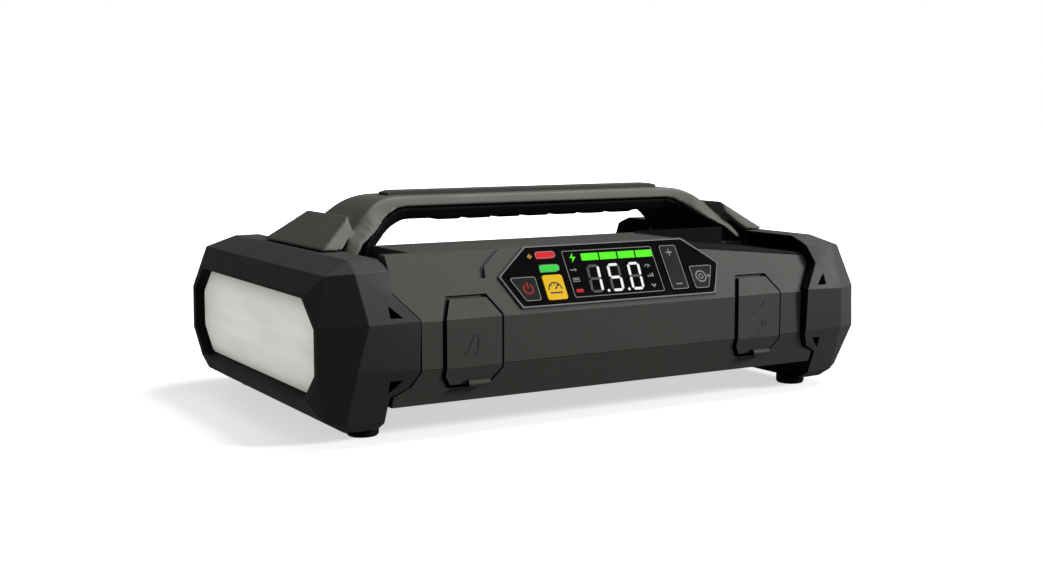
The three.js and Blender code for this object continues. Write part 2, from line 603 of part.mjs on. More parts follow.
function feetAndScrews() {
  const names = ['front_left', 'front_right', 'rear_left', 'rear_right'];
  FEET.forEach(([sx, sy], i) => {
    const body = join(
      rod('z', [0, 0, 0], 1, FOOT.r - 0.8, 32, FOOT.r),
      rod('z', [0, 0, 1], BUMPER_FLOOR_Z, FOOT.r, 32),
    );
    const headHole = rod('z', [0, 0, -1], 3.9, SCREW.head + GAP, 20);
    const shankHole = rod('z', [0, 0, -1], 10, SCREW.r + 0.2, 12);
    const [footX, footY] = [sx * FOOT.x, sy * FOOT.y];
    place(`foot_${names[i]}`, cut(body, headHole, shankHole), blackRubber, [footX, footY, 0]);
    place(`foot_screw_${names[i]}`, screw(7.5), steel, [footX, footY, 0.6]);
    place(`housing_screw_${names[i]}`, screw(SCREW.length), steel, [...bossXY[i], FLOOR_Z + 0.3]);
  });
}

// ---------------------------------------------------------------- battery and wiring
const CELL = { x0: -66, x1: 50, y0: -22, y1: 26, z0: 21.5, h: 8.6, pitch: 9.2 };

function batteryParts() {
  for (let i = 0; i < 4; i += 1) {
    const z = CELL.z0 + i * CELL.pitch;
    const pouch = [
      [CELL.y0, z + CELL.h / 2], [CELL.y0 + 2, z], [CELL.y1 - 2, z],
      [CELL.y1, z + CELL.h / 2], [CELL.y1 - 2, z + CELL.h], [CELL.y0 + 2, z + CELL.h],
    ];
    place(`battery_cell_${i + 1}`, prismX(pouch, CELL.x0, CELL.x1), cellFoil);
  }
  const tray = cut(
    box(CELL.x0 - 3, CELL.x1 + 3, CELL.y0 - 3, CELL.y1 + 3, 18.6, 44),
    box(CELL.x0 - 0.5, CELL.x1 + 0.5, CELL.y0 - 0.5, CELL.y1 + 0.5, CELL.z0 - 0.5, 50),
    box(-40, 24, -40, 40, 26, 50),
  );
  place('battery_tray', tray, blackPlastic);
  place('battery_board', box(CELL.x0 + 4, CELL.x1 - 30, -18, 22, 59.4, 61), boardGreen);
  place('jump_relay', box(-104, -80, -54, -34, 36, 60), blackPlastic);
}

function cable(points) {
  const path = new THREE.CatmullRomCurve3(points.map((p) => new THREE.Vector3(...p)));
  const shape = new THREE.Shape();
  shape.absarc(0, 0, 2.4, 0, Math.PI * 2);
  const settings = { steps: 14, extrudePath: path, bevelEnabled: false, curveSegments: 5 };
  return toSolid(new THREE.ExtrudeGeometry(shape, settings));
}

// ---------------------------------------------------------------- air pump
const GEAR = { module: 0.8, bigTeeth: 48, smallTeeth: 12, x: 74.5, width: 5, y: 40, z: 42 };
const PINION_Y = GEAR.y + GEAR.module * (GEAR.bigTeeth + GEAR.smallTeeth) / 2;
const CRANK = { r: 5.5, pin: 1.8 };
const CYLINDER = { x: 85.5, outer: 11.5, bore: 8.3, y0: -42, y1: -8 };

// A spur gear round the X axis with one tooth (phase 0) or one gap (phase 0.5) on +Y.
function gearOutline(teeth, phase) {
  const pitchR = GEAR.module * teeth / 2;
  const tip = pitchR + 0.55;
  const root = pitchR - 1;
  const step = 2 * Math.PI / teeth;
  const points = [];
  for (let i = 0; i < teeth; i += 1) {
    const middle = (i + phase) * step;
    const rootHalf = 0.9 * GEAR.module / root;
    const tipHalf = 0.32 * GEAR.module / tip;
    for (const [r, angle] of [[root, -rootHalf], [tip, -tipHalf], [tip, tipHalf], [root, rootHalf]]) {
      points.push([r * Math.cos(middle + angle), r * Math.sin(middle + angle)]);
    }
  }
  return points;
}

function pumpParts() {
  const { x, width, y, z } = GEAR;
  const motor = join(
    rod('x', [14, 0, 0], 50, 15, 32),
    rod('x', [63, 0, 0], 3, 5, 20),
    rod('x', [65, 0, 0], 2.2, 1.1, 12),
  );
  place('pump_motor', motor, steel, [0, PINION_Y, z]);
  const pinion = cut(
    join(prismX(gearOutline(GEAR.smallTeeth, 0.5), 0, width), rod('x', [-2.6, 0, 0], 2.7, 3.2, 16)),
    rod('x', [-5, 0, 0], 3.2, 1.4, 12),
  );
  place('pump_pinion', pinion, brass, [x, PINION_Y, z]);
  const wheel = join(
    prismX(gearOutline(GEAR.bigTeeth, 0), 0, width - 0.4),
    rod('x', [-2.8, 0, 0], 3, 3, 16),
    rod('x', [4, 0, CRANK.r], 3.2, CRANK.pin, 12),
  );
  place('crank_gear', wheel, gearPlastic, [x, y, z]);
  const plate = cut(
    box(68.2, 71, 22, 82, 22, 62),
    rod('x', [60, y, z], 20, 3.4, 20),
    rod('x', [60, PINION_Y, z], 20, 6, 20),
  );
  const arm = box(68.2, 99, CYLINDER.y1 - 0.2, 16, 20, 26);
  const link = join(plate, box(68.2, 71, 10, 24, 20, 62), arm);
  const barrel = rod('y', [CYLINDER.x, CYLINDER.y0, z], CYLINDER.y1 - CYLINDER.y0, CYLINDER.outer, 32);
  const ear = box(CYLINDER.x - 10, CYLINDER.x + 10, CYLINDER.y1 - 8, CYLINDER.y1, 20, 36);
  const bore = rod('y', [CYLINDER.x, CYLINDER.y0 - 5, z], 60, CYLINDER.bore, 32);
  place('pump_frame', cut(join(link, barrel, ear), bore), aluminium);
  const head = join(
    rod('y', [0, -7, 0], 6.6, CYLINDER.outer, 32),
    rod('y', [0, -13, 0], 7, 2.6, 16),
  );
  place('cylinder_head', head, aluminium, [CYLINDER.x, CYLINDER.y0 - GAP, z]);
  const piston = join(
    rod('y', [0, -6, 0], 10, CYLINDER.bore - 0.3, 32),
    box(-2, 2, 3, 42, -3, 3),
    cut(rod('x', [-2, 44, 0], 4, 5.2, 20), rod('x', [-5, 44, 0], 10, 2.6, 16)),
  );
  place('pump_piston', piston, aluminium, [CYLINDER.x, CYLINDER.y1 - 12, z]);
}

// ---------------------------------------------------------------- outlet on the rear face
function outletParts() {
  const flangeEnd = 5;
  const body = join(
    rod('y', [0, 0, 0], 10.8, OUTLET_R, 20),
    rod('y', [0, flangeEnd - 2, 0], 2, 5.6, 24),
  );
  const y = BODY_Y - WALL - GAP - flangeEnd;
  place('air_outlet', cut(body, rod('y', [0, 4, 0], 12, 1.7, 16)), brass, [0, y, OUTLET_Z]);
}

// ---------------------------------------------------------------- assembly
place('upper_housing', upperHousing(), housingPlastic);
place('lower_housing', lowerHousing(), housingPlastic);
place('left_bumper', bumper(-1), bumperRubber);
place('right_bumper', bumper(1), bumperRubber);
const frameSolid = handleFrame();
place('handle_frame', frameSolid, handlePlastic);
place('handle_grip', handleGrip(frameSolid), blackRubber);
place('handle_top_pad', handleTopPad(), flapRubber);
place('deck_tray_liner', deckTrayLiner(), blackRubber);
for (const [name, flap] of Object.entries(flaps)) {
  place(name, flapSolid(flap), flapRubber);
}
lampParts();
place('end_vent_cover', endVentCover(), blackPlastic);
displayParts();
portParts();
feetAndScrews();
batteryParts();
pumpParts();
outletParts();
place('positive_cable', cable([[-84, -69, 48], [-79, -62, 52], [-67, -50, 58], [-62, -24, 62]]), redRubber);
place('negative_cable', cable([[-84, -69, 39], [-74, -60, 36], [-60, -50, 50], [-50, -24, 62]]), blackRubber);

export default scene;
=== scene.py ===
"""The looks of a jump starter pack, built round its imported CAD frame.

Metres, +X along the length (the lamp is at -X), the display faces -Y, +Z is up.
Sizes in the tables below are in millimetres and pass through MM. The floor, the lamps and the camera are in
metres.
"""
import json
import math

import bmesh
import bpy
from mathutils import Euler, Matrix, Vector


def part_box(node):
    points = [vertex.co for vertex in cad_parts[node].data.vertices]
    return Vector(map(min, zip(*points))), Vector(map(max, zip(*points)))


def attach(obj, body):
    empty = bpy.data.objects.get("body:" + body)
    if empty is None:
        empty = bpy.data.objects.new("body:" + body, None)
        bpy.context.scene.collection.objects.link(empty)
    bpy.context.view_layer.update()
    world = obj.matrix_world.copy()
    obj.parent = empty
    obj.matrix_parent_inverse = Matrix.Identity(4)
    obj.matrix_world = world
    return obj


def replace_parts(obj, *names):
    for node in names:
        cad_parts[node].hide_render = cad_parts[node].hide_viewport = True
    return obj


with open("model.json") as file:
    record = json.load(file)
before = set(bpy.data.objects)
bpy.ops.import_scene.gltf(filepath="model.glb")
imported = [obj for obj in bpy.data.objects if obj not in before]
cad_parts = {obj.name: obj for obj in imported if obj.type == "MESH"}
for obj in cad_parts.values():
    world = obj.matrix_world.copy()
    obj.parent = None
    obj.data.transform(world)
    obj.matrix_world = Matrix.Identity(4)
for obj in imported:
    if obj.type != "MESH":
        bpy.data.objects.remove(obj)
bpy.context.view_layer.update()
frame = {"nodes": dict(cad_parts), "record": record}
NODES = frame["nodes"]
BODIES = frame["record"]["behaviour"]["bodies"]
BODY_OF = {node: body for body, members in BODIES.items() for node in members}
SLOT_OF = {row["node"]: row["material_slot"] for row in frame["record"]["subparts"]}
MM = 0.001

# ------------------------------------------------------------------ the sloped facet that carries the display
FACET_ANGLE = math.radians(58)
WINDOW = {"v0": 3.8, "n0": -0.6, "n1": 0.7}  # the window's lower edge, its back and its front, on the facet


def facet_matrix():
    """Turns (u along X, v up the slope, n off the surface) in millimetres into the frame, in metres."""
    lo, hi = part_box("display_window")
    rise, run = math.sin(FACET_ANGLE), math.cos(FACET_ANGLE)
    ridge_z = lo.z - (WINDOW["v0"] * rise + WINDOW["n0"] * run) * MM
    ridge_y = lo.y - (WINDOW["v0"] * run - WINDOW["n1"] * rise) * MM
    slope = Matrix.Rotation(FACET_ANGLE, 4, "X")
    return Matrix.Translation((0, ridge_y, ridge_z)) @ slope @ Matrix.Scale(MM, 4)


FACET = facet_matrix()


# ------------------------------------------------------------------ materials
def linear(red, green, blue):
    """A display colour, 0 to 255, as scene-linear RGBA."""
    def one(c):
        c /= 255
        return c / 12.92 if c <= 0.04045 else ((c + 0.055) / 1.055) ** 2.4
    return (one(red), one(green), one(blue), 1)


def shade(base, factor, lift=0.0):
    """A scene-linear colour made darker or paler."""
    return tuple(c * factor + lift for c in base[:3]) + (1,)


class Finish:
    """A node material under construction, with short calls for its usual parts."""

    def __init__(self, name):
        self.material = bpy.data.materials.new(name)
        self.material.use_nodes = True
        self.tree = self.material.node_tree
        self.shader = self.tree.nodes["Principled BSDF"]
        self.coords = self.add("ShaderNodeTexCoord").outputs["Object"]

    def add(self, kind, **settings):
        node = self.tree.nodes.new(kind)
        for key, value in settings.items():
            setattr(node, key, value)
        return node

    def feed(self, socket, value):
        """Links an output to a socket, or sets a plain value."""
        if isinstance(value, bpy.types.NodeSocket):
            self.tree.links.new(value, socket)
        else:
            socket.default_value = value

    def noise(self, size, detail=3.0, stretch=(1, 1, 1)):
        """Noise whose lumps are about `size` millimetres across."""
        mapping = self.add("ShaderNodeMapping")
        mapping.inputs["Scale"].default_value = stretch
        self.feed(mapping.inputs["Vector"], self.coords)
        noise = self.add("ShaderNodeTexNoise")
        noise.inputs["Scale"].default_value = 1 / (size * MM)
        noise.inputs["Detail"].default_value = detail
        self.feed(noise.inputs["Vector"], mapping.outputs["Vector"])
        return noise.outputs["Fac"]

    def remap(self, value, low, high, to_low, to_high):
        node = self.add("ShaderNodeMapRange")
        for key, number in (("Value", value), ("From Min", low), ("From Max", high),
                            ("To Min", to_low), ("To Max", to_high)):
            self.feed(node.inputs[key], number)
        return node.outputs["Result"]

    def maths(self, operation, a, b):
        node = self.add("ShaderNodeMath", operation=operation)
        self.feed(node.inputs[0], a)
        self.feed(node.inputs[1], b)
        return node.outputs["Value"]

    def mix(self, factor, a, b):
        node = self.add("ShaderNodeMix", data_type="RGBA")
        self.feed(node.inputs["Factor"], factor)
        self.feed(node.inputs["A"], a)
        self.feed(node.inputs["B"], b)
        return node.outputs["Result"]

    def edges(self, radius=0.7):
        """1 along edges, 0 on flats, broken up by noise: where the rounded and the true normals part."""
        softened = self.add("ShaderNodeBevel", samples=4)
        softened.inputs["Radius"].default_value = radius * MM
        facing = self.add("ShaderNodeVectorMath", operation="DOT_PRODUCT")
        self.feed(facing.inputs[0], softened.outputs["Normal"])
        self.feed(facing.inputs[1], self.add("ShaderNodeNewGeometry").outputs["Normal"])
        edge = self.remap(facing.outputs["Value"], 0.998, 0.94, 0.0, 1.0)
        return self.maths("MULTIPLY", edge, self.remap(self.noise(6.0), 0.35, 0.65, 0.25, 1.0))

    def bump(self, height, depth):
        """Raises the surface by up to `depth` millimetres."""
        node = self.add("ShaderNodeBump")
        node.inputs["Strength"].default_value = 1.0
        node.inputs["Distance"].default_value = depth * MM
        self.feed(node.inputs["Height"], height)
        self.feed(self.shader.inputs["Normal"], node.outputs["Normal"])

    def set(self, **inputs):
        """Feeds the shader's inputs, named in lower case with underscores, and returns the material."""
        for key, value in inputs.items():
            self.feed(self.shader.inputs[key.replace("_", " ").title().replace("Ior", "IOR")], value)
        return self.material


def moulded(name, colour, roughness, grain=0.7, depth=0.03, wear=0.2, specular=0.5):
    """Moulded plastic or rubber: fine spark-eroded grain, slow colour drift, paler worn edges."""
    f = Finish(name)
    base = linear(*colour)
    drift = f.remap(f.noise(38.0, 4.0), 0.3, 0.7, 0.0, 1.0)
    dark = shade(base, 0.94)
    speckle = f.remap(f.noise(grain * 1.6, 2.0), 0.35, 0.65, 0.0, 1.0)
    plain = f.mix(f.maths("MULTIPLY", speckle, 0.35), f.mix(drift, dark, shade(base, 1.06)), dark)
    skin = f.mix(f.maths("MULTIPLY", f.edges(), wear), plain, shade(base, 1.8, 0.01))
    rough = f.remap(f.noise(14.0, 5.0), 0.3, 0.7, roughness - 0.05, roughness + 0.06)
    f.bump(f.noise(grain, 3.0), depth)
    return f.set(base_color=skin, roughness=rough, specular_ior_level=specular)


def gloss(name, colour, roughness=0.08, specular=0.5):
    """Clear-topped plastic: smooth, with faint smears in the gloss."""
    f = Finish(name)
    base = linear(*colour)
    smear = f.remap(f.noise(20.0, 5.0, (1, 3, 1)), 0.35, 0.7, roughness, roughness + 0.1)
    tint = f.mix(f.noise(30.0), base, shade(base, 0.8))
    f.bump(f.noise(5.0), 0.004)
    return f.set(base_color=tint, roughness=smear, specular_ior_level=specular)


def lit(name, colour):
    """A lit segment: an even glow that varies slightly across its face."""
    f = Finish(name)
    glow = f.remap(f.noise(4.0), 0.3, 0.7, 0.94, 1.04)
    return f.set(base_color=(0, 0, 0, 1), emission_color=linear(*colour), emission_strength=glow,
                 roughness=0.4, specular_ior_level=0.2)


def printed(name, colour):
    """Screen-printed ink."""
    f = Finish(name)
    base = linear(*colour)
    tone = f.mix(f.noise(1.5), base, shade(base, 0.8))
    f.bump(f.noise(0.3), 0.004)
    return f.set(base_color=tone, roughness=0.45)


def metal(name, colour, roughness, grain=(1, 1, 40)):
    """Bare metal with a drawn grain and small stains."""
    f = Finish(name)
    base = linear(*colour)
    streak = f.noise(12.0, 4.0, grain)
    tone = f.mix(streak, shade(base, 0.75), base)
    rough = f.remap(f.noise(9.0, 4.0), 0.3, 0.7, roughness, roughness + 0.15)
    f.bump(streak, 0.01)
    return f.set(base_color=tone, roughness=rough, metallic=1.0)


def circuit_board(name):
    """Solder mask with copper tracks just showing through."""
    f = Finish(name)
    wave = f.add("ShaderNodeTexWave")
    wave.inputs["Scale"].default_value = 220
    wave.inputs["Distortion"].default_value = 6
    f.feed(wave.inputs["Vector"], f.coords)
    track = f.remap(wave.outputs["Fac"], 0.55, 0.6, 0.0, 1.0)
    f.bump(track, 0.03)
    return f.set(base_color=f.mix(track, linear(14, 70, 38), linear(24, 96, 52)), roughness=0.4)


def frosted_lens(name):
    """White diffuser with a little light scattering inside it; its glow is painted light, brighter across the
    middle, with painted shade towards the edges.
    """
    f = Finish(name)
    lo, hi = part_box("lamp_lens")
    place = f.add("ShaderNodeSeparateXYZ")
    f.feed(place.inputs["Vector"], f.coords)
    across = f.remap(place.outputs["Y"], lo.y, hi.y, -1.0, 1.0)
    upward = f.remap(place.outputs["Z"], lo.z, hi.z, -1.0, 1.0)
    # How near a point lies to the lens's edges, where the painted shade falls.
    shade_toward_edges = f.maths("ADD", f.maths("POWER", f.maths("ABSOLUTE", across, 0.0), 6.0),
                   f.maths("POWER", f.maths("ABSOLUTE", upward, 0.0), 3.0))
    # Painted light: the glow stands in for the studio light on the lens, and dims towards its domed edges as
    # painted shade.
    glow = f.remap(shade_toward_edges, 0.0, 1.2, 0.52, 0.24)
    # Faint painted streaks of light in the glow.
    streak = f.noise(30.0, 2.0, (1, 0.6, 4))
    glow = f.maths("MULTIPLY", glow, f.remap(streak, 0.3, 0.7, 0.93, 1.07))
    f.bump(f.noise(1.2), 0.02)
    return f.set(base_color=linear(226, 226, 218), roughness=0.38, emission_color=linear(246, 246, 238),
                 emission_strength=glow, subsurface_weight=0.15, subsurface_scale=0.004)


FINISHES = {
    "housing": moulded("housing_plastic", (66, 66, 62), 0.55, specular=0.3),
    "bumper": moulded("bumper_rubber", (54, 54, 51), 0.6, grain=0.9, depth=0.04, specular=0.3),
    "handle": moulded("handle_plastic", (89, 90, 84), 0.5, specular=0.3),
    "flap_rubber": moulded("flap_rubber", (66, 66, 62), 0.58, specular=0.3),
    "black_rubber": moulded("black_rubber", (12, 12, 12), 0.65, wear=0.1, specular=0.08),
    "black_plastic": moulded("black_plastic", (30, 30, 30), 0.45),
    "frosted_lens": frosted_lens("frosted_lens"),
    "white_plastic": gloss("white_plastic", (236, 236, 230), 0.3),
    "gloss_window": gloss("gloss_window", (7, 7, 8), 0.1, 0.2),
    "key_black": gloss("key_black", (28, 28, 26), 0.4, 0.1),
    "key_yellow": gloss("key_yellow", (250, 200, 20), 0.3, 0.3),
    "lamp_red": lit("lamp_red", (214, 20, 32)),
    "lamp_green": lit("lamp_green", (42, 218, 62)),
    "board": circuit_board("board"),
    "steel": metal("steel", (190, 190, 192), 0.28),
    "aluminium": metal("aluminium", (205, 206, 208), 0.34, (1, 1, 1)),
    "brass": metal("brass", (214, 176, 98), 0.25),
    "cell_foil": metal("cell_foil", (176, 180, 186), 0.3, (6, 1, 1)),
    "red_rubber": moulded("red_rubber", (170, 20, 20), 0.5),
    "gear_plastic": moulded("gear_plastic", (226, 220, 200), 0.4),
}
GLOW_GREEN = lit("glow_green", (84, 250, 12))
GLOW_WHITE = lit("glow_white", (248, 248, 248))
GLOW_RED = lit("glow_red", (190, 26, 28))
GHOST = printed("ghost_segment", (44, 44, 46))
INK_GREY = printed("ink_grey", (142, 142, 140))
INK_BLACK = printed("ink_black", (24, 20, 6))
INK_AMBER = printed("ink_amber", (214, 160, 40))


# ------------------------------------------------------------------ mesh helpers
FOLD_LIMIT = 20 * MM * MM  # a mesh whose folded area is below this has no fold that shows


def add_piece(name, bm, finish, body):
    """Turns a bmesh in the frame into a piece that rides on a body."""
    bmesh.ops.recalc_face_normals(bm, faces=bm.faces)
    mesh = bpy.data.meshes.new(name)
    bm.to_mesh(mesh)
    bm.free()
    piece = bpy.data.objects.new(name, mesh)
    bpy.context.scene.collection.objects.link(piece)
    mesh.materials.append(finish)
    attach(piece, body)
    return piece


def add_like(node, name, bm):
    """A piece with a CAD node's finish, on its body."""
    slot = SLOT_OF[node]
    return add_piece(name, bm, FINISHES[slot], BODY_OF[node])


def shade_smooth(piece):
    for face in piece.data.polygons:
        face.use_smooth = True


def apply_modifiers(piece):
    graph = bpy.context.evaluated_depsgraph_get()
    final = bpy.data.meshes.new_from_object(piece.evaluated_get(graph))
    piece.modifiers.clear()
    piece.data = final


def folded_area(mesh):
    """How much more area a mesh's triangles cover than its faces, which is where a face folds over itself."""
    mesh.calc_loop_triangles()
    return sum(t.area for t in mesh.loop_triangles) - sum(face.area for face in mesh.polygons)


def split_faces(mesh, most):
    """A copy of a mesh in which every face with more than `most` corners is cut into triangles."""
    bm = bmesh.new()
    bm.from_mesh(mesh)
    large = [face for face in bm.faces if len(face.verts) > most]
    bmesh.ops.triangulate(bm, faces=large, ngon_method="EAR_CLIP")
    split = mesh.copy()
    bm.to_mesh(split)
    bm.free()
    return split


def soften(piece, width, segments=2, angle=22.0):
    """Rounds every edge sharper than `angle` degrees, and shades the flats flat.

    The rounding can fold a face that has many corners. If it does, it is done again on smaller faces.
    """
    sharp = piece.data
    for most in (1000, 12, 8, 5):
        piece.data = split_faces(sharp, most)
        bevel = piece.modifiers.new("round", "BEVEL")
        bevel.width = width * MM
        bevel.segments = segments
        bevel.limit_method = "ANGLE"
        bevel.angle_limit = math.radians(angle)
        bevel.use_clamp_overlap = True
        bevel.miter_outer = "MITER_ARC"
        bevel.harden_normals = False
        apply_modifiers(piece)
        if folded_area(piece.data) < FOLD_LIMIT:
            break
    shade_smooth(piece)
    normals = piece.modifiers.new("flats", "WEIGHTED_NORMAL")
    normals.keep_sharp = False
    normals.weight = 80
    apply_modifiers(piece)


def merged_copy(node, weld=0.05, flat=1.2):
    """A CAD node's mesh with its flats as single faces. Points closer than `weld` millimetres become one."""
    bm = bmesh.new()
    bm.from_mesh(NODES[node].data)
    bmesh.ops.remove_doubles(bm, verts=bm.verts, dist=weld * MM)
    bmesh.ops.dissolve_limit(bm, angle_limit=math.radians(flat), verts=bm.verts, edges=bm.edges)
    return bm


def refined(node, width, segments=2, angle=22.0, weld=0.05):
    """A softened copy of a CAD node that stands in for it."""
    piece = add_like(node, node + "_skin", merged_copy(node, weld))
    soften(piece, width, segments, angle)
    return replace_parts(piece, node)


def remeshed(node, voxel, passes, keep=0.35):
    """A copy of a CAD node with every edge rounded and every curve evened out, that stands in for it.

    The voxels are in millimetres, and `keep` is the share of the faces that thinning leaves.
    """
    piece = add_like(node, node + "_skin", merged_copy(node))
    remesh = piece.modifiers.new("voxels", "REMESH")
    remesh.mode = "VOXEL"
    remesh.voxel_size = voxel * MM
    smooth = piece.modifiers.new("rounding", "SMOOTH")
    smooth.factor = 0.5
    smooth.iterations = passes
    thin = piece.modifiers.new("thinning", "DECIMATE")
    thin.ratio = keep
    apply_modifiers(piece)
    shade_smooth(piece)
    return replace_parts(piece, node)


def prism(bm, outline, n0, n1, matrix=FACET):
    """Adds a closed prism of an outline, between two heights, to a bmesh."""
    rings = [[bm.verts.new(matrix @ Vector((u, v, n))) for u, v in outline] for n in (n0, n1)]
    bm.faces.new(rings[1])
    bm.faces.new(list(reversed(rings[0])))
    for i in range(len(outline)):
        j = (i + 1) % len(outline)
        bm.faces.new((rings[0][i], rings[0][j], rings[1][j], rings[1][i]))


def ring(bm, outer, inner, n0, n1, matrix=FACET):
    """Adds the closed band between two outlines with the same number of points."""
    layers = []
    for outline in (outer, inner):
        layers.append([[bm.verts.new(matrix @ Vector((u, v, n))) for u, v in outline] for n in (n0, n1)])
    (outer_low, outer_top), (inner_low, inner_top) = layers
    count = len(outer)
    for i in range(count):
        j = (i + 1) % count
        bm.faces.new((outer_top[i], outer_top[j], inner_top[j], inner_top[i]))
        bm.faces.new((outer_low[j], outer_low[i], inner_low[i], inner_low[j]))
        bm.faces.new((outer_low[i], outer_low[j], outer_top[j], outer_top[i]))
        bm.faces.new((inner_low[j], inner_low[i], inner_top[i], inner_top[j]))


def inset(outline, amount):
    """The anticlockwise outline moved inwards by `amount` on every edge."""
    moved = []
    count = len(outline)
    for i, (x, y) in enumerate(outline):
        before = Vector(outline[i - 1])
        here = Vector((x, y))
        after = Vector(outline[(i + 1) % count])
        d0, d1 = (here - before).normalized(), (after - here).normalized()
        n0, n1 = Vector((-d0.y, d0.x)), Vector((-d1.y, d1.x))
        moved.append(tuple(here + (n0 + n1) * (amount / (1 + n0.dot(n1)))))
    return moved


def rounded(outline, radius, steps=4):
    """The anticlockwise outline with every corner turned into an arc."""
    points = []
    count = len(outline)
    for i in range(count):
        before, here = Vector(outline[i - 1]), Vector(outline[i])
        after = Vector(outline[(i + 1) % count])
        a, b = (before - here), (after - here)
        reach = min(radius / math.tan(a.angle(b) / 2), a.length * 0.45, b.length * 0.45)
        start, end = here + a.normalized() * reach, here + b.normalized() * reach
        for k in range(steps + 1):
            t = k / steps
            points.append(tuple(start * (1 - t) ** 2 + here * (2 * t * (1 - t)) + end * t * t))
    return points


def stroke(bm, points, width, n0, n1, matrix=FACET):
    """A closed bar of even width along a line of points."""
    left, right = [], []
    for i, point in enumerate(points):
        here = Vector(point)
        ahead = Vector(points[min(i + 1, len(points) - 1)])
        behind = Vector(points[max(i - 1, 0)])
        along = (ahead - behind).normalized()
        side = Vector((-along.y, along.x)) * (width / 2)
        left.append(tuple(here + side))
        right.append(tuple(here - side))
    prism(bm, right + left[::-1], n0, n1, matrix)


def arc(centre, radius, start, end, steps=14):
    """Points on an arc, angles in degrees."""
    angles = [math.radians(start + (end - start) * k / steps) for k in range(steps + 1)]
    return [(centre[0] + radius * math.cos(a), centre[1] + radius * math.sin(a)) for a in angles]


def circle(centre, radius, steps=24):
    """Points round a full circle, anticlockwise."""
    return arc(centre, radius, 0, 360, steps)[:-1]


# ------------------------------------------------------------------ housing, bumpers, handle and port covers
OPENING_DEPTH = 30
POCKET_X = (120, 130)  # how far from the middle the bumpers' triangular pockets lie
POCKET_Y = (94, 103)
POCKETS = [(57, 65, 98.2), (22, 30, 95.6)]  # z from, z to, and how far out the floor of the pocket reaches


def paint_shade_black(piece, chosen):
    """Paints black rubber, as painted shade, on the faces that `chosen` picks."""
    # The black rubber finish serves here as painted shade.
    if len(piece.data.materials) == 1:
        piece.data.materials.append(FINISHES["black_rubber"])
    for face in piece.data.polygons:
        if chosen(face):
            face.material_index = 1


def shade_opening_walls(bumper, cover):
    """The walls of the opening in a bumper's end are painted black with the black rubber: painted shade in
    the recess round the cover.
    """
    lo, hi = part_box(cover)
    reach = 1.2 * MM
    inner_end = min(abs(lo.x), abs(hi.x)) - OPENING_DEPTH * MM

    def wall(face):
        x, y, z = face.center
        within = lo.y - reach < y < hi.y + reach and lo.z - reach < z < hi.z + reach
        return abs(x) > inner_end and within and abs(face.normal.x) < 0.5

    paint_shade_black(bumper, wall)


def shade_cover_seats(housing):
    """The seats that the port covers lie in are painted black: painted shade in the gaps round the covers."""
    reach = 1.6 * MM
    boxes = [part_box(node) for node in ("jump_port_flap", "usb_port_flap")]
    points = [vertex.co for vertex in housing.data.vertices]

    def inside(corner, lo, hi):
        across = lo.x - reach < corner.x < hi.x + reach
        upward = lo.z - reach < corner.z < hi.z + 2 * reach
        return across and upward and corner.y < hi.y

    def seat(face):
        corners = [points[i] for i in face.vertices]
        return any(all(inside(corner, lo, hi) for corner in corners) for lo, hi in boxes)

    paint_shade_black(housing, seat)


def shade_cover_sides(cover):
    """The side edges of a port cover are painted black: painted shade on its side walls and in the gap beside
    them.
    """
    paint_shade_black(cover, lambda face: abs(face.normal.x) > 0.5)


def shade_bumper_rim(bumper):
    """The walls of the groove between a bumper and the housing, which face inwards along X, turn black:
    painted shade in the groove.
    """
    paint_shade_black(bumper, lambda face: face.normal.x * face.center.x < 0 and abs(face.normal.x) > 0.4)


def shade_bumper_pockets(bumper):
    """The floor and the walls of a bumper's triangular pockets turn black: painted shade in the hollows."""
    def pocket(face):
        x, y, z = (abs(value) for value in face.center / MM)
        if not (POCKET_X[0] < x < POCKET_X[1] and POCKET_Y[0] < y < POCKET_Y[1]):
            return False
        wall = abs(face.normal.y) < 0.35
        return any(low < z < high and (y < floor_y or wall) for low, high, floor_y in POCKETS)

    paint_shade_black(bumper, pocket)


def shells():
    # The black on the cover seats, the bumpers' openings, rims and pockets and the covers' sides is painted
    # shade.
    shade_cover_seats(refined("upper_housing", 0.3, 2, 12.0))
    shade_cover_seats(refined("lower_housing", 0.4, 2, 12.0))
    for side, cover in (("left", "lamp_lens"), ("right", "end_vent_cover")):
        bumper = refined(side + "_bumper", 0.9, 3, 10.0, weld=0.2)
        shade_opening_walls(bumper, cover)
        shade_bumper_rim(bumper)
        shade_bumper_pockets(bumper)
    remeshed("handle_frame", 0.9, 14)
    remeshed("handle_grip", 0.9, 4)
    refined("handle_top_pad", 0.4, 2)
    for cover in ("jump_port_flap", "usb_port_flap"):
        shade_cover_sides(refined(cover, 0.7, 3, 16.0))
    refined("lamp_lens", 1.2, 4, 8.0)
    refined("end_vent_cover", 0.4, 2)


# ------------------------------------------------------------------ raised marks on the port covers
def front_matrix(node):
    """Turns (x, z, out) in millimetres, from the middle of a cover's front face, into the frame in metres."""
    lo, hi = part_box(node)
    middle = Vector(((lo.x + hi.x) / 2, lo.y, (lo.z + hi.z) / 2))
    return Matrix.Translation(middle) @ Matrix.Rotation(math.radians(90), 4, "X") @ Matrix.Scale(MM, 4)


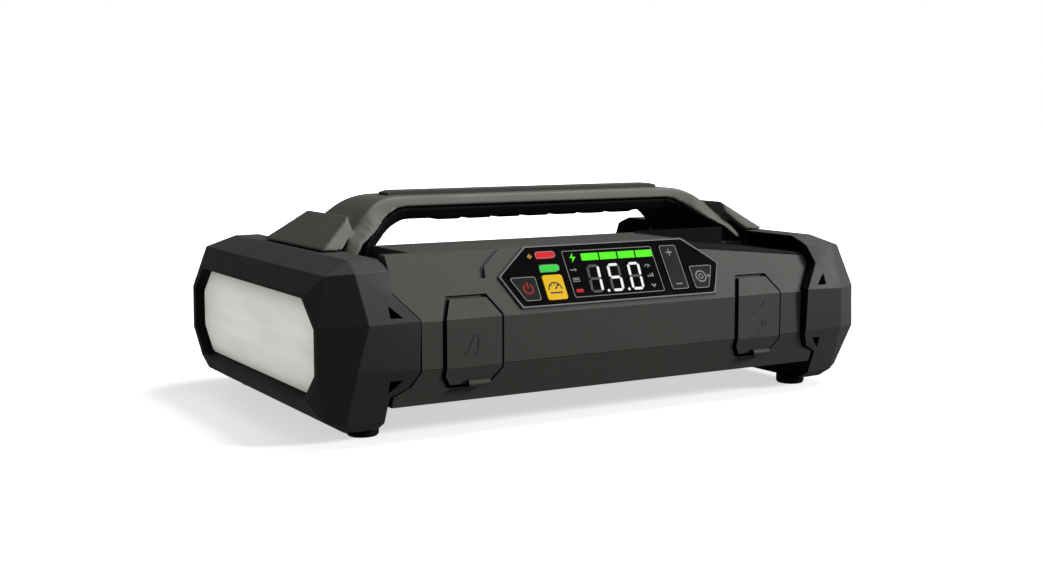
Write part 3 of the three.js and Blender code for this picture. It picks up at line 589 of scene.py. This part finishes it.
def flap_marks():
    low, high = -0.3, 0.22  # from inside the cover to just proud of it

    def clamps(bm):
        matrix = front_matrix("jump_port_flap")
        for foot, top in ((-4.6, 0.4), (0.6, 2.6)):
            stroke(bm, [(foot, -4.2), (foot + 1.6, -3.4), (top, 4.4)], 0.8, low, high, matrix)
            stroke(bm, [(foot - 0.2, -4.6), (foot + 1.8, -5.0)], 0.8, low, high, matrix)

    def ports(bm):
        matrix = front_matrix("usb_port_flap")
        stroke(bm, arc((-3.6, 9.8), 7.2, -85, -10, 10), 0.9, low, high, matrix)
        ring(bm, circle((3.6, -3.2), 1.6), circle((3.6, -3.2), 0.9), low, high, matrix)
        for x0, x1, z in ((-5.4, -2.0, -9.4), (-1.0, 2.6, -8.0)):
            stroke(bm, [(x0, z), (x1, z)], 0.7, low, high, matrix)

    graphic("jump_flap_mark", FINISHES["flap_rubber"], "jump_flap", clamps)
    graphic("usb_flap_mark", FINISHES["flap_rubber"], "usb_flap", ports)


# ------------------------------------------------------------------ display
KEYS = {
    "power_key": [(-62.2, 18.9), (-55.8, 5.8), (-47.0, 5.8), (-47.0, 18.9)],
    "units_key": [(-43.6, 5.7), (-32.2, 5.7), (-32.2, 19), (-43.6, 19)],
    "adjust_key": [(29.7, 6.1), (40.5, 6.1), (40.5, 31.4), (29.7, 31.4)],
    "pump_key": [(44.2, 5.8), (53.0, 5.8), (59.4, 18.9), (44.2, 18.9)],
}
LCD = [(-28.2, 6.1), (25.2, 6.1), (25.2, 31.4), (-28.2, 31.4)]
PAD = [(55.9, 2.5), (64.2, 19.8), (45.7, 35.2), (-48.5, 35.2), (-67.0, 19.8), (-58.7, 2.5)]
PAD_LINE = (0.78, 0.84)  # the printed line on the border round the window
LIGHTS = {"light_pipe_red": (-37.9, 30.0), "light_pipe_green": (-37.7, 22.8)}
LIGHT_SIZE = (10.6, 3.0)
KEY_TOP = 1.0
INK = 0.03
ON_WINDOW = (WINDOW["n1"], WINDOW["n1"] + INK)
ON_KEY = (KEY_TOP, KEY_TOP + INK)
# The bars of a digit: top, upper right, lower right, bottom, lower left, upper left, middle. 1 is lit.
SEGMENTS = {"0": "1111110", "1": "0110000", "5": "1011011"}
DIGIT = {"width": 7.4, "height": 15.2, "bar": 1.4, "lean": 0.09, "v": 7.9, "gap": 0.22}
READING = [(-18.0, "1"), (-5.9, "5"), (6.2, "0")]  # the left end of each digit, and the digit


def graphic(name, finish, body, draw):
    """A printed or lit graphic: `draw` adds its shapes to a bmesh."""
    bm = bmesh.new()
    draw(bm)
    return add_piece(name, bm, finish, body)


def digit_bars(u0):
    """The seven hexagonal bars of a digit whose lower left corner is at u0."""
    w, h, t, gap = DIGIT["width"], DIGIT["height"], DIGIT["bar"], DIGIT["gap"]

    def level(v):
        return [(t / 2 + gap, v), (t + gap, v + t / 2), (w - t - gap, v + t / 2), (w - t / 2 - gap, v),
                (w - t - gap, v - t / 2), (t + gap, v - t / 2)]

    def upright(u, v0, v1):
        return [(u, v0 + gap), (u + t / 2, v0 + t / 2 + gap), (u + t / 2, v1 - t / 2 - gap), (u, v1 - gap),
                (u - t / 2, v1 - t / 2 - gap), (u - t / 2, v0 + t / 2 + gap)]

    low, middle, top = t / 2, h / 2, h - t / 2
    bars = [level(top), upright(w - t / 2, middle, top), upright(w - t / 2, low, middle), level(low),
            upright(t / 2, low, middle), upright(t / 2, middle, top), level(middle)]
    return [[(u0 + u + v * DIGIT["lean"], DIGIT["v"] + v) for u, v in bar] for bar in bars]


def lcd_digits():
    """The lit bars of the reading with its two points, and the faint bars that aren't lit."""
    for lamp, finish, name in (("1", GLOW_WHITE, "lcd_digits_lit"), ("0", GHOST, "lcd_digits_unlit")):
        def draw(bm):
            for u0, figure in READING:
                for bar, state in zip(digit_bars(u0), SEGMENTS[figure]):
                    if state == lamp:
                        prism(bm, bar, *ON_WINDOW)
            if lamp == "1":
                for u in (-7.8, 4.3):
                    prism(bm, circle((u, 8.6), 0.75, 12), *ON_WINDOW)
        graphic(name, finish, "pack", draw)


def lcd_bars():
    """Four bars for the battery's level, and a charging mark."""
    width, pitch, lean = 10, 10.85, 0.36
    low, high = 25.6, 29.5

    def level(bm):
        for i in range(4):
            u = -18 + i * pitch
            prism(bm, [(u, low), (u + width, low), (u + width + lean, high), (u + lean, high)], *ON_WINDOW)
    graphic("battery_level_bars", GLOW_GREEN, "pack", level)

    def bolt(bm):
        prism(bm, [(-24.6, 27.4), (-22.2, 30.2), (-22.9, 27.9), (-21.0, 27.9), (-23.8, 24.9), (-23.1, 27.4)],
              *ON_WINDOW)
    graphic("charging_mark", GLOW_GREEN, "pack", bolt)


def lcd_marks():
    """Plain marks beside the digits: ports on the left, units on the right."""
    def left(bm):
        stroke(bm, [(-26.4, 20.9), (-23.4, 20.9)], 0.5, *ON_WINDOW)
        prism(bm, [(-23.8, 20.0), (-22.4, 20.9), (-23.8, 21.8)], *ON_WINDOW)
        outer = [(-26.4, 14.4), (-22.6, 14.4), (-22.6, 16.6), (-26.4, 16.6)]
        ring(bm, outer, inset(outer, 0.35), *ON_WINDOW)
        prism(bm, [(-25.6, 15.3), (-23.4, 15.3), (-23.4, 15.9), (-25.6, 15.9)], *ON_WINDOW)
    graphic("lcd_port_marks", INK_GREY, "pack", left)

    def fault(bm):
        prism(bm, [(-26.3, 8.7), (-22.4, 8.7), (-22.4, 10.5), (-26.3, 10.5)], *ON_WINDOW)
    graphic("lcd_fault_mark", GLOW_RED, "pack", fault)

    def right(bm):
        stroke(bm, arc((19.4, 19.6), 1.7, 20, 160, 8), 0.45, *ON_WINDOW)
        stroke(bm, [(19.4, 19.6), (20.2, 21.0)], 0.45, *ON_WINDOW)
        for k in range(3):
            u0, u1, top = 17.7 + k * 1.4, 18.5 + k * 1.4, 15.3 + k * 0.6
            prism(bm, [(u0, 14.4), (u1, 14.4), (u1, top), (u0, top)], *ON_WINDOW)
        chevron = [(18.0, 10.4), (19.6, 8.4), (21.2, 10.4), (20.2, 10.4), (19.6, 9.5), (19.0, 10.4)]
        prism(bm, chevron, *ON_WINDOW)
    graphic("lcd_unit_marks", INK_GREY, "pack", right)


def outlines():
    """Thin printed lines round the window, the screen and the dark keys."""
    line = 0.32

    def draw(bm):
        ring(bm, rounded(inset(PAD, 0.5), 1.5), rounded(inset(PAD, 0.86), 1.5), *PAD_LINE)
        ring(bm, rounded(LCD, 1.2), rounded(inset(LCD, line), 1.0), *ON_WINDOW)
    graphic("display_line_work", INK_GREY, "pack", draw)
    for key in ("power_key", "adjust_key", "pump_key"):
        def edge(bm):
            outer = inset(KEYS[key], 0.25)
            ring(bm, rounded(outer, 1.3), rounded(inset(outer, line), 1.1), *ON_KEY)
        graphic(key + "_line", INK_GREY, BODY_OF[key], edge)


def key_marks():
    """The marks on the four keys, and the small diamond between the keys and the lights."""
    def power(bm):
        stroke(bm, arc((-52.8, 12.4), 2.5, 125, 415, 20), 0.6, *ON_KEY)
        stroke(bm, [(-52.8, 12.6), (-52.8, 15.9)], 0.6, *ON_KEY)
    graphic("power_mark", GLOW_RED, "power_button", power)

    def gauge(bm):
        pivot = (-37.9, 11.2)
        stroke(bm, arc(pivot, 3.6, 0, 180, 14), 0.7, *ON_KEY)
        stroke(bm, [pivot, (-35.9, 13.7)], 0.8, *ON_KEY)
        for angle in (45, 90, 135):
            stroke(bm, [arc(pivot, r, angle, angle, 1)[0] for r in (2.3, 3.4)], 0.45, *ON_KEY)
        stroke(bm, [(-41.3, 9.4), (-34.5, 9.4)], 0.8, *ON_KEY)
    graphic("gauge_mark", INK_BLACK, "units_button", gauge)

    def plus_minus(bm):
        stroke(bm, [(33.2, 27.2), (37.0, 27.2)], 0.6, *ON_KEY)
        stroke(bm, [(35.1, 25.3), (35.1, 26.9)], 0.6, *ON_KEY)
        stroke(bm, [(35.1, 27.5), (35.1, 29.1)], 0.6, *ON_KEY)
        stroke(bm, [(33.2, 9.3), (37.0, 9.3)], 0.6, *ON_KEY)
    graphic("plus_minus_marks", INK_GREY, "adjust_rocker", plus_minus)

    def tyre(bm):
        centre = (50.0, 12.6)
        ring(bm, circle(centre, 3.3), circle(centre, 2.7), *ON_KEY)
        ring(bm, circle(centre, 1.5), circle(centre, 1.0), *ON_KEY)
        stroke(bm, [(54.6, 12.6), (56.4, 12.6)], 0.6, *ON_KEY)
        prism(bm, [(54.9, 11.6), (54.9, 13.6), (53.7, 12.6)], *ON_KEY)
    graphic("tyre_mark", INK_GREY, "pump_button", tyre)

    def diamond(bm):
        outer = [(-48.2, 29.5), (-46.8, 28.1), (-45.4, 29.5), (-46.8, 30.9)]
        ring(bm, outer, inset(outer, 0.35), *ON_WINDOW)
        prism(bm, circle((-46.8, 29.5), 0.45, 8), *ON_WINDOW)
    graphic("status_diamond", INK_AMBER, "pack", diamond)


def key_caps():
    for key, outline in KEYS.items():
        bm = bmesh.new()
        prism(bm, rounded(outline, 1.5), -3.0, KEY_TOP)
        piece = add_like(key, key + "_cap", bm)
        soften(piece, 0.18, 2, 30)
        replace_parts(piece, key)


def indicator_lights():
    """Two pills of light with a thin ring round each."""
    half_length, half = LIGHT_SIZE[0] / 2, LIGHT_SIZE[1] / 2
    radius = half - 0.05  # just under a half circle, so that no two points meet
    for light, (u, v) in LIGHTS.items():
        box = [(u - half_length, v - half), (u + half_length, v - half),
               (u + half_length, v + half), (u - half_length, v + half)]
        pill = rounded(box, radius, 6)
        bm = bmesh.new()
        prism(bm, pill, -3.4, 0.9)
        piece = add_like(light, light + "_tip", bm)
        soften(piece, 0.15, 2, 30)
        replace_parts(piece, light)

        def surround(bm):
            ring(bm, rounded(inset(box, -0.3), half + 0.2, 6), pill, ON_WINDOW[0], ON_WINDOW[0] + 0.1)
        graphic(light + "_line", INK_GREY, "pack", surround)


def display():
    key_caps()
    indicator_lights()
    lcd_digits()
    lcd_bars()
    lcd_marks()
    outlines()
    key_marks()


# ------------------------------------------------------------------ everything else keeps its CAD shape
def plain_nodes():
    """Gives every CAD node that still shows the finish of its slot."""
    for node, thing in NODES.items():
        if not thing.hide_render:
            thing.data.materials.clear()
            thing.data.materials.append(FINISHES[SLOT_OF[node]])


# ------------------------------------------------------------------ floor, light and camera
FLOOR_REACH = 12.0
AIM = (0, 0, 0.05)
AMBIENT = 0.16
LAMPS = [  # name, place, width and height, power in watts, whether it shows in reflections
    ("key", (7.5, -4.25, 3.1), (1.75, 1.75), 750, True),
    ("top", (1.5, 0.1, 2.9), (1.6, 1.2), 76, True),
    ("rear", (0.8, 6.0, 0.9), (2.0, 2.0), 110, False),
]
CAMERA = {"place": (-0.3928, -0.6692, 0.1493), "tilt": 6.94, "turn": -30.36, "lens": 48.67}


def area_light(name, place, size, power, glossy):
    data = bpy.data.lights.new(name, "AREA")
    data.shape = "RECTANGLE"
    data.size, data.size_y = size
    data.energy = power
    light = bpy.data.objects.new(name, data)
    light.visible_glossy = glossy
    light.location = place
    light.rotation_euler = (Vector(AIM) - Vector(place)).to_track_quat("-Z", "Y").to_euler()
    bpy.context.scene.collection.objects.link(light)


def floor_finish():
    """Pale grey that glows towards the camera only, and more so away from the object."""
    f = Finish("floor")
    to_camera = f.add("ShaderNodeLightPath").outputs["Is Camera Ray"]
    distance = f.add("ShaderNodeVectorMath", operation="LENGTH")
    f.feed(distance.inputs[0], f.coords)
    paleness = f.remap(distance.outputs["Value"], 0.3, 1.3, 0.6, 1.0)
    return f.set(base_color=linear(236, 236, 236), roughness=0.9, specular_ior_level=0.0,
                 emission_color=(1, 1, 1, 1), emission_strength=f.maths("MULTIPLY", to_camera, paleness))


def lay_floor():
    mesh = bpy.data.meshes.new("floor")
    corners = [(-FLOOR_REACH, -FLOOR_REACH), (FLOOR_REACH, -FLOOR_REACH), (FLOOR_REACH, FLOOR_REACH),
               (-FLOOR_REACH, FLOOR_REACH)]
    mesh.from_pydata([(x, y, 0) for x, y in corners], [], [(0, 1, 2, 3)])
    mesh.materials.append(floor_finish())
    floor = bpy.data.objects.new("floor", mesh)
    bpy.context.scene.collection.objects.link(floor)
    floor.visible_diffuse = False
    floor.visible_glossy = False


def surroundings():
    """A white background for the camera that lights the object only faintly."""
    world = bpy.data.worlds.new("studio")
    bpy.context.scene.world = world
    world.use_nodes = True
    tree = world.node_tree
    background = tree.nodes["Background"]
    background.inputs["Color"].default_value = (1, 1, 1, 1)
    path = tree.nodes.new("ShaderNodeLightPath")
    level = tree.nodes.new("ShaderNodeMapRange")
    level.inputs["To Min"].default_value = AMBIENT
    level.inputs["To Max"].default_value = 1.0
    tree.links.new(path.outputs["Is Camera Ray"], level.inputs["Value"])
    tree.links.new(level.outputs["Result"], background.inputs["Strength"])


def studio():
    lay_floor()
    surroundings()
    for lamp in LAMPS:
        area_light(*lamp)
    bpy.context.scene.view_settings.view_transform = "Standard"


def camera():
    data = bpy.data.cameras.new("camera")
    data.lens = CAMERA["lens"]
    data.sensor_width = 36
    data.clip_start = 0.01
    view = bpy.data.objects.new("camera", data)
    view.location = CAMERA["place"]
    view.rotation_euler = Euler((math.radians(90 - CAMERA["tilt"]), 0, math.radians(CAMERA["turn"])))
    bpy.context.scene.collection.objects.link(view)
    bpy.context.scene.camera = view


shells()
flap_marks()
display()
plain_nodes()
studio()
camera()
